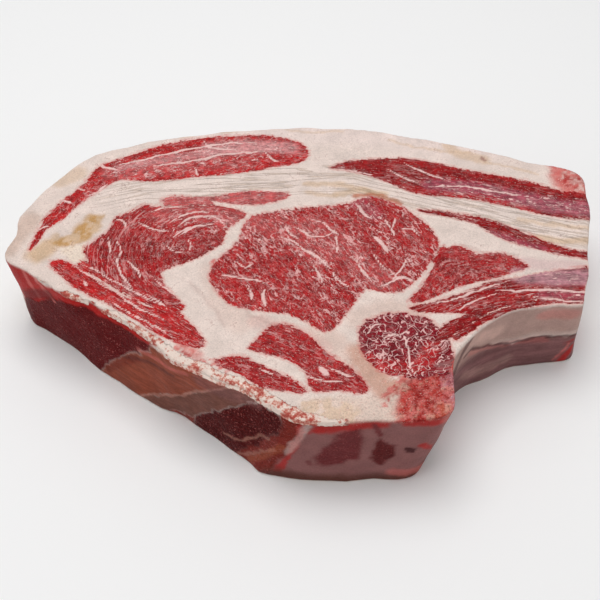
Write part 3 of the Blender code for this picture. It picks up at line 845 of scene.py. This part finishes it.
def wall_share(points):
    """One on the sawn side wall and nothing on the two cut faces or on the back."""
    _, side = beside(in_plan(points), WALL_PATH)
    between = smooth(0.8, 2.2, THICKNESS - points[:, 2]) * smooth(0.3, 1.2, points[:, 2])
    return between * (1 - smooth(10, 14, np.abs(side)))


def skin_share(points):
    """One where skin or bone covers the side wall, so that no lean shows, and nothing on the right end."""
    return smooth(0.6, 1.0, wall_share(points)) * (1 - smooth(124, 127, in_plan(points)[:, 0]))


def tissue_paint(points):
    """The colour of fat, bone and sinew at each point, and how spongy it is there."""
    ragged = warped(warped(points, 3.5, 1.3, 23), 1.3, 0.6, 29)
    painted = banded(points, np.tile(CREAM, (len(points), 1)), FAT_TONES, in_plan)
    upper = smooth(THICKNESS - 14, THICKNESS - 4, points[:, 2])[:, None]
    painted = painted + upper * (banded(points, painted, FAT_STAINS, in_plan) - painted)
    painted, spongy = areas_over(in_plan(ragged), painted, np.zeros(len(points)), FACE_AREAS)
    painted = blotched(points, banded(points, painted, RIM_BANDS, in_plan))
    side, sponge = areas_over(on_wall(ragged), painted, np.zeros(len(points)), WALL_AREAS)
    side = banded(points, side, WALL_BANDS, on_wall)
    share = wall_share(points)
    return painted + share[:, None] * (side - painted), spongy + share * (sponge - spongy)


def lean_colours(points, which):
    """The colour of the lean at each point, before its marbling."""
    table = np.array([LEAN[name][0] for name in MUSCLES])
    return banded(points, table[which], LEAN_BANDS, in_plan)


def grain_places(points, which):
    """Where each point lies along and across the fibres, counted in cells of marbling."""
    plan = in_plan(points)
    places = np.zeros((len(points), 3))
    for number, name in enumerate(MUSCLES):
        here = which == number
        if not here.any():
            continue
        _, _, line, long, wide = LEAN[name]
        if line:
            along, side = beside(plan[here], line)
        else:
            offset = plan[here] - WHORL
            side = np.linalg.norm(offset, axis=1)
            along = np.arctan2(offset[:, 1], -offset[:, 0]) * WHORL_LENGTH
        along = along / long + number * MUSCLES_APART
        places[here] = np.stack([along, side / wide, points[here, 2] / CELL_HEIGHT], 1)
    return places


def layer_places(points):
    along, side = beside(in_plan(points), FAT_LAYERS)
    band = (1 - smooth(7, 15, np.abs(side))) * smooth(15, 50, along)
    return np.stack([along, side, band], 1)


def vein_strength(points):
    """One in the middle of a white vein and nothing beside it."""
    ragged = in_plan(warped(warped(points, 5.0, 0.9, 31), 1.6, 0.35, 37))
    uneven = 1 + 0.45 * noise(points, 2.2, 41)
    strength = np.zeros(len(points))
    for half, line in VEINS:
        line = curve(line)
        close = near(ragged, line, 3 * half + 1)
        along, side = beside(ragged[close], line)
        length = np.linalg.norm(np.diff(line, axis=0), axis=1).sum()
        taper = np.sin(np.pi * np.clip(along / length, 0.05, 0.95)) ** 0.6
        width = 0.75 * half * taper * uneven[close]
        found = np.minimum(1, 0.45 + taper) * (1 - smooth(0.3 * width, 1.3 * width + 0.6, np.abs(side)))
        strength[close] = np.maximum(strength[close], found)
    return strength


def marbling_strengths(points, which):
    strengths = np.array([LEAN[name][1] for name in MUSCLES])[which]
    place = in_plan(warped(points, 4.0, 1.2, 71))
    for extra, half, line in PALE_BANDS:
        _, side = beside(place, line)
        strengths[:, 1] += extra * (1 - smooth(0.4 * half, 1.5 * half, np.abs(side)))
    return np.clip(strengths, 0, 1.4)


def store(mesh, name, kind, values):
    attribute = mesh.attributes.new(name, kind, "POINT")
    field = {"FLOAT": "value", "FLOAT_VECTOR": "vector", "FLOAT_COLOR": "color"}[kind]
    if kind == "FLOAT_COLOR":
        values = np.column_stack([values, np.ones(len(values))])
    attribute.data.foreach_set(field, np.asarray(values, np.float32).ravel())


def describe(mesh, name):
    """Gives each vertex what the shaders need to know about the tissue there."""
    points = mesh_points(mesh)
    depth, which = lean_depth(in_plan(points))
    if name in MUSCLES:
        which[:] = MUSCLES.index(name)
    if name in BONES:
        depth[:] = IN_FAT
    depth -= SKIN_HIDES * skin_share(points)
    paint, spongy = tissue_paint(points)
    store(mesh, "lean", "FLOAT", depth)
    store(mesh, "meat", "FLOAT_COLOR", lean_colours(points, which))
    store(mesh, "paint", "FLOAT_COLOR", np.clip(paint, 0, 1))
    store(mesh, "spongy", "FLOAT", spongy)
    store(mesh, "crumbs", "FLOAT", crumb_share(points))
    store(mesh, "marbling", "FLOAT_VECTOR", marbling_strengths(points, which))
    store(mesh, "grain", "FLOAT_VECTOR", grain_places(points, which))
    store(mesh, "layers", "FLOAT_VECTOR", layer_places(points))
    store(mesh, "vein", "FLOAT", vein_strength(points))


# Shaders. The scale of a noise is about how many lumps it has to a millimetre, or to a cell of marbling.

HALF = (0.5, 0.5, 0.5)
TISSUE_BUMP = 0.6  # how high the fine relief of the shaders stands
STREAK_BUMP = 0.3


class Shading:
    """Adds shader nodes to a tree. A value is a socket to link or a constant to set."""

    def __init__(self, tree):
        self.tree = tree

    def node(self, kind, **settings):
        made = self.tree.nodes.new(kind)
        for key, value in settings.items():
            setattr(made, key, value)
        return made

    def put(self, socket, value):
        if isinstance(value, bpy.types.NodeSocket):
            self.tree.links.new(value, socket)
        elif value is not None:
            socket.default_value = value

    def attribute(self, name, output="Vector"):
        return self.node("ShaderNodeAttribute", attribute_name=name).outputs[output]

    def place(self):
        """Where each point of the piece lies, in millimetres."""
        return self.vector("SCALE", self.node("ShaderNodeTexCoord").outputs["Object"], 1 / MM)

    def parts(self, vector):
        """The three numbers of a vector, each on its own."""
        made = self.node("ShaderNodeSeparateXYZ")
        self.put(made.inputs[0], vector)
        return made.outputs

    def math(self, operation, first, second=None):
        made = self.node("ShaderNodeMath", operation=operation)
        self.put(made.inputs[0], first)
        self.put(made.inputs[1], second)
        return made.outputs[0]

    def times(self, first, second):
        return self.math("MULTIPLY", first, second)

    def plus(self, first, second):
        return self.math("ADD", first, second)

    def minus(self, first, second):
        return self.math("SUBTRACT", first, second)

    def larger(self, first, second):
        return self.math("MAXIMUM", first, second)

    def vector(self, operation, first, second):
        made = self.node("ShaderNodeVectorMath", operation=operation)
        self.put(made.inputs[0], first)
        self.put(made.inputs["Scale" if operation == "SCALE" else 1], second)
        return made.outputs[0]

    def stretched(self, place, factors):
        return self.vector("MULTIPLY", place, factors)

    def shade(self, tint, factor):
        """A colour made lighter or darker by a factor."""
        return self.vector("SCALE", tint, factor)

    def step(self, value, low, high, start=0.0, end=1.0):
        """A smooth step from start to end as the value goes from low to high."""
        made = self.node("ShaderNodeMapRange", interpolation_type="SMOOTHSTEP", clamp=True)
        for socket, given in zip(made.inputs, (value, low, high, start, end)):
            self.put(socket, given)
        return made.outputs[0]

    def noise(self, place, scale, detail=2.0, roughness=0.5, distortion=0.0, output="Fac"):
        made = self.node("ShaderNodeTexNoise")
        self.put(made.inputs["Vector"], place)
        self.put(made.inputs["Scale"], scale)
        self.put(made.inputs["Detail"], detail)
        self.put(made.inputs["Roughness"], roughness)
        self.put(made.inputs["Distortion"], distortion)
        return made.outputs[output]

    def ridges(self, place, scale, width, detail=2.0, distortion=0.0):
        """Thin branching lines: one on a line and nothing beside it."""
        offset = self.minus(self.noise(place, scale, detail, 0.5, distortion), 0.5)
        return self.step(self.math("ABSOLUTE", offset), 0.0, width, 1.0, 0.0)

    def mix(self, share, first, second):
        made = self.node("ShaderNodeMix", data_type="RGBA", blend_type="MIX", clamp_factor=True)
        self.put(made.inputs[0], share)
        for socket, value in ((made.inputs[6], first), (made.inputs[7], second)):
            if isinstance(value, np.ndarray):
                value = (*value, 1.0)
            self.put(socket, value)
        return made.outputs[2]


def marbling(s, place, grain):
    """How much fat shows in the lean: a network, streaks along the fibres and worm-like lines."""
    network_strength, streak_strength, worm_strength = s.parts(s.attribute("marbling"))
    wander = s.vector("SUBTRACT", s.noise(grain, 1.6, 2.0, output="Color"), HALF)
    bent = s.vector("ADD", grain, s.vector("SCALE", wander, 1.1))
    cluster = s.step(s.noise(grain, 0.4, 2.0), 0.38, 0.62)
    coarse = s.ridges(bent, 0.68, s.plus(s.times(cluster, 0.036), 0.016))
    coarse = s.times(coarse, s.plus(s.times(cluster, 0.5), 0.5))
    fine_lines = s.ridges(s.stretched(bent, (1.0, 1.5, 1.0)), 1.9, 0.022)
    network = s.times(s.larger(coarse, s.times(fine_lines, 0.4)), network_strength)
    streaks = s.noise(s.stretched(bent, (0.7, 2.4, 1.0)), 1.0, 3.0, 0.6)
    streaks = s.times(s.step(streaks, 0.58, 0.72), 0.6)
    line_width = s.plus(s.times(cluster, 0.028), 0.014)
    long_lines = s.ridges(s.stretched(bent, (0.4, 1.1, 1.0)), 1.0, line_width)
    broken = s.step(s.noise(place, 0.3, 2.0), 0.4, 0.55)
    streaks = s.times(s.larger(streaks, s.times(long_lines, broken)), streak_strength)
    worms = s.times(s.ridges(place, 0.33, 0.046, 1.0, 0.5), worm_strength)
    return s.larger(s.larger(network, streaks), worms)


def lean_look(s, place, grain, ragged):
    """The colour of the lean, with its marbling and veins, and the relief of its fibres."""
    pale = marbling(s, place, grain)
    fibres = s.noise(s.stretched(grain, (1.5, 5.0, 2.0)), 1.0, 3.0, 0.65)
    lumps = s.noise(place, 0.35, 3.0, 0.6)
    tone = s.plus(s.times(fibres, 0.9), s.times(lumps, 0.7))
    lean = s.shade(s.attribute("meat", "Color"), s.step(tone, 0.52, 1.1, 0.42, 1.4))
    lean = s.mix(s.times(pale, 0.9), lean, MARBLING_PINK)
    vein = s.plus(s.attribute("vein", "Fac"), s.times(ragged, 1.1))
    lean = s.mix(s.step(vein, 0.35, 0.85, 0.0, 0.88), lean, VEIN_PINK)
    return lean, s.plus(s.times(pale, 0.25), s.times(fibres, 0.5))


def ragged_depth(s, grain, ragged):
    """How deep in the lean each point lies, with a ragged and frayed border."""
    frayed = s.minus(s.noise(s.stretched(grain, (0.6, 2.0, 1.0)), 1.0, 2.0), 0.5)
    uneven = s.plus(s.times(ragged, 3.4), s.times(frayed, 2.2))
    return s.plus(s.attribute("lean", "Fac"), uneven)


def fat_look(s, place, upper):
    """The painted colour of fat and other tissue, with layers and cracks, and the relief of the layers."""
    layers = s.attribute("layers")
    in_band = s.parts(layers)[2]
    layered = s.noise(s.stretched(layers, (0.035, 0.9, 0.3)), 1.0, 4.0, 0.6)
    layered = s.times(s.minus(layered, 0.42), in_band)
    clouds = s.noise(place, 0.12, 4.0, 0.6)
    fine = s.noise(place, 1.6, 3.0, 0.7)
    tone = s.plus(s.plus(s.times(layered, 0.4), s.times(clouds, 0.55)), s.times(fine, 0.7))
    fat = s.shade(s.attribute("paint", "Color"), s.plus(tone, 0.365))
    lamellae = s.ridges(s.stretched(layers, (0.02, 0.32, 0.0)), 1.0, 0.03, 4.0)
    lamellae = s.times(s.times(lamellae, s.plus(s.times(in_band, 0.9), 0.1)), upper)
    fat = s.mix(s.times(lamellae, 0.35), fat, TAN)
    cracks = s.ridges(place, 0.22, 0.012, 4.0, 0.6)
    cracks = s.times(cracks, s.step(s.noise(place, 0.12, 2.0), 0.45, 0.6, 0.0, 0.5))
    fat = s.mix(s.times(cracks, upper), fat, GREY_BROWN)
    height = s.plus(s.times(layered, 0.5), s.times(fine, 0.35))
    return fat, s.minus(height, s.times(lamellae, 0.5))


def with_sponge(s, place, tint, spongy, upper):
    """The colour with the dark pits, pale specks and pink grains of spongy bone."""
    sponge = s.noise(place, 1.1, 3.0, 0.7)
    pits = s.times(s.step(sponge, 0.34, 0.5, 0.55, 0.0), spongy)
    tint = s.shade(tint, s.minus(1.0, pits))
    specks = s.times(s.step(sponge, 0.56, 0.7, 0.0, 0.45), spongy)
    tint = s.mix(s.times(specks, upper), tint, MARBLING_PINK)
    tint = s.mix(s.times(specks, 0.6), tint, SPECK_PINK)
    grains = s.step(s.noise(place, 1.3, 1.0, 0.6), 0.6, 0.68, 0.0, 0.75)
    dense = s.step(s.noise(place, 0.25, 2.0), 0.38, 0.55, 0.15, 1.0)
    return s.mix(s.times(s.times(grains, dense), spongy), tint, GRAIN_PINK)


def with_crumbs(s, place, tint, spongy, ragged):
    """The colour with the crumbs of the saw ridge, and the relief of crumbs and sponge."""
    lumps = s.noise(place, 0.42, 4.0, 0.7)
    drift = s.times(s.minus(s.noise(place, 0.09), 0.5), 0.75)
    tone = s.plus(lumps, drift)
    crumb = s.mix(s.step(tone, 0.35, 0.46), CRUMB_RED, CRUMB_PINK)
    crumb = s.mix(s.step(tone, 0.45, 0.54), crumb, CRUMB_AND_GLINT_WHITE)
    crumby = s.step(s.plus(s.attribute("crumbs", "Fac"), ragged), 0.4, 0.6)
    height = s.times(s.times(lumps, s.larger(crumby, spongy)), 2.0)
    return s.mix(crumby, tint, crumb), height


def tissue_group():
    """Lean with its marbling and its ragged border, or painted tissue where there is no lean, with painted
    highlights (glints) on the upper face.
    """
    tree = bpy.data.node_groups.new("tissue", "ShaderNodeTree")
    for name, kind in (("Color", "NodeSocketColor"), ("Height", "NodeSocketFloat")):
        tree.interface.new_socket(name, in_out="OUTPUT", socket_type=kind)
    s = Shading(tree)
    place = s.place()
    grain = s.attribute("grain")
    spongy = s.attribute("spongy", "Fac")
    upper = s.step(s.parts(place)[2], THICKNESS - 4, THICKNESS - 1.5)
    ragged = s.minus(s.noise(place, 0.6, 4.0, 0.7), 0.5)
    depth = ragged_depth(s, grain, ragged)
    lean, lean_height = lean_look(s, place, grain, ragged)
    fat, fat_height = fat_look(s, place, upper)
    fat = s.mix(s.step(depth, -1.6, -0.1, 0.0, 0.42), fat, BLOOD_PINK)
    fat = with_sponge(s, place, fat, spongy, upper)
    fat, crumb_height = with_crumbs(s, place, fat, spongy, ragged)
    fat_height = s.plus(fat_height, crumb_height)
    fat_share = s.step(depth, -0.25, 0.2, 1.0, 0.0)
    # Painted highlights: small white specks on the upper face that stand in for wet glints of light.
    painted_glints = s.times(s.step(s.noise(place, 1.7, 1.0), 0.68, 0.74, 0.0, 0.6), upper)
    level = s.node("ShaderNodeMix", data_type="FLOAT")
    for socket, value in zip(level.inputs[:1] + level.inputs[2:4], (fat_share, lean_height, fat_height)):
        s.put(socket, value)
    out = s.node("NodeGroupOutput")
    s.put(out.inputs["Color"], s.mix(painted_glints, s.mix(fat_share, lean, fat), CRUMB_AND_GLINT_WHITE))
    s.put(out.inputs["Height"], level.outputs[0])
    return tree


def new_material(name, roughness, shine):
    made = bpy.data.materials.new(name)
    made.use_nodes = True
    shader = made.node_tree.nodes["Principled BSDF"]
    shader.inputs["Roughness"].default_value = roughness
    shader.inputs["Specular IOR Level"].default_value = shine
    return made, Shading(made.node_tree), shader


def bumped(s, shader, height, depth):
    bump = s.node("ShaderNodeBump")
    bump.inputs["Strength"].default_value = 1.0
    bump.inputs["Distance"].default_value = depth * MM
    s.put(bump.inputs["Height"], height)
    s.put(shader.inputs["Normal"], bump.outputs[0])


def tissue_material(name, group, roughness, shine):
    made, s, shader = new_material(name, roughness, shine)
    tissue = s.node("ShaderNodeGroup", node_tree=group)
    s.put(shader.inputs["Base Color"], tissue.outputs["Color"])
    bumped(s, shader, tissue.outputs["Height"], TISSUE_BUMP)
    return made


def banded_material(name, group, roughness, shine, stretch):
    """Painted sinew with long faint streaks."""
    made, s, shader = new_material(name, roughness, shine)
    tissue = s.node("ShaderNodeGroup", node_tree=group)
    streaks = s.noise(s.stretched(s.place(), stretch), 1.0, 4.0, 0.6, 0.6)
    tint = s.shade(tissue.outputs["Color"], s.step(streaks, 0.3, 0.75, 0.8, 1.22))
    s.put(shader.inputs["Base Color"], tint)
    bumped(s, shader, streaks, STREAK_BUMP)
    return made


def materials():
    group = tissue_group()
    lean = tissue_material("wet_lean", group, 0.34, 0.07)
    fat = tissue_material("firm_fat", group, 0.45, 0.05)
    marrow = tissue_material("dark_marrow", group, 0.4, 0.02)
    made = {name: lean for name in MUSCLES}
    made["fat"] = fat
    made["feather_bone_left"] = marrow
    made["feather_bone_right"] = marrow
    made["vertebra"] = tissue_material("sawn_bone", group, 0.45, 0.02)
    made["ligament"] = banded_material("ligament", group, 0.4, 0.02, (0.12, 0.12, 0.5))
    made["cartilage"] = banded_material("cartilage", group, 0.45, 0.02, (0.2, 0.2, 0.6))
    made["rib"] = banded_material("rib_skin", group, 0.4, 0.02, (0.05, 0.05, 0.3))
    return made


# The stage: the floor, the lights and the camera. The camera's place is in the plan and in millimetres.

CAMERA_PLAN = (-3.0, -322.5)
CAMERA_HEIGHT = 403.3
LOOKS_DOWN = 50.0  # degrees below the horizon
FOCAL_LENGTH = 66.0
FILM_WIDTH = 36.0

# Each light: its name, its place and size in metres, and its power. All look at the steak.
LIGHTS = [
    ("above", (-0.1, 0.1, 1.1), 0.7, 6.4),
    ("left", (-0.9, -0.5, 0.6), 0.6, 1.2),
    ("right", (0.9, -0.4, 0.5), 0.6, 0.8),
]
SKY_STRENGTH = 0.44
FLOOR_REACH = 3.0  # metres
FLOOR_DROP = 0.0002  # keeps the floor just under the lower face
FLOOR_TONE = 0.93


def build_floor():
    mesh = bpy.data.meshes.new("floor")
    corners = [(FLOOR_REACH * x, FLOOR_REACH * y, 0) for x, y in ((-1, -1), (1, -1), (1, 1), (-1, 1))]
    mesh.from_pydata(corners, [], [(0, 1, 2, 3)])
    floor = added("floor", mesh)
    floor.location.z = -FLOOR_DROP
    made, _, shader = new_material("floor", 0.9, 0.1)
    shader.inputs["Base Color"].default_value = (FLOOR_TONE, FLOOR_TONE, FLOOR_TONE, 1)
    mesh.materials.append(made)


def build_lights():
    for name, place, size, power in LIGHTS:
        lamp = bpy.data.lights.new(name, "AREA")
        lamp.size = size
        lamp.energy = power
        item = added(name, lamp)
        item.location = place
        item.rotation_euler = (-Vector(place)).to_track_quat("-Z", "Y").to_euler()
    world = bpy.data.worlds.new("studio")
    world.use_nodes = True
    sky = world.node_tree.nodes["Background"]
    sky.inputs["Color"].default_value = (1, 1, 1, 1)
    sky.inputs["Strength"].default_value = SKY_STRENGTH
    bpy.context.scene.world = world
    bpy.context.scene.view_settings.view_transform = "Standard"


def place_camera():
    data = bpy.data.cameras.new("camera")
    data.lens = FOCAL_LENGTH
    data.sensor_width = FILM_WIDTH
    item = added("camera", data)
    plan = np.array(CAMERA_PLAN) - MIDDLE
    item.location = (plan[0] * MM, plan[1] * MM, CAMERA_HEIGHT * MM)
    item.rotation_euler = (math.radians(90 - LOOKS_DOWN), 0, 0)
    bpy.context.scene.camera = item


def sink(slab):
    """Presses the relief into the slab, and keeps it above the floor."""
    points = mesh_points(slab.data)
    normals = vertex_normals(points, mesh_triangles(slab.data))
    points = points - relief(points, normals)[:, None] * normals
    points[:, 2] = np.maximum(points[:, 2], 0)
    set_points(slab.data, points)


def main():
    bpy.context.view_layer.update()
    slab = fine_slab()
    sink(slab)
    meshes = cut_pieces(slab)
    bpy.data.objects.remove(slab)
    finishes = materials()
    for name, mesh in meshes.items():
        mesh.name = name + "_look"
        mesh.materials.clear()
        mesh.materials.append(finishes[name])
        describe(mesh, name)
        mesh.shade_smooth()
        mesh.set_sharp_from_angle(angle=math.radians(SHARP_ANGLE))
        piece = added(name + "_look", mesh)
        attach(piece, "root")
        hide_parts(name)
    build_floor()
    build_lights()
    place_camera()


main()
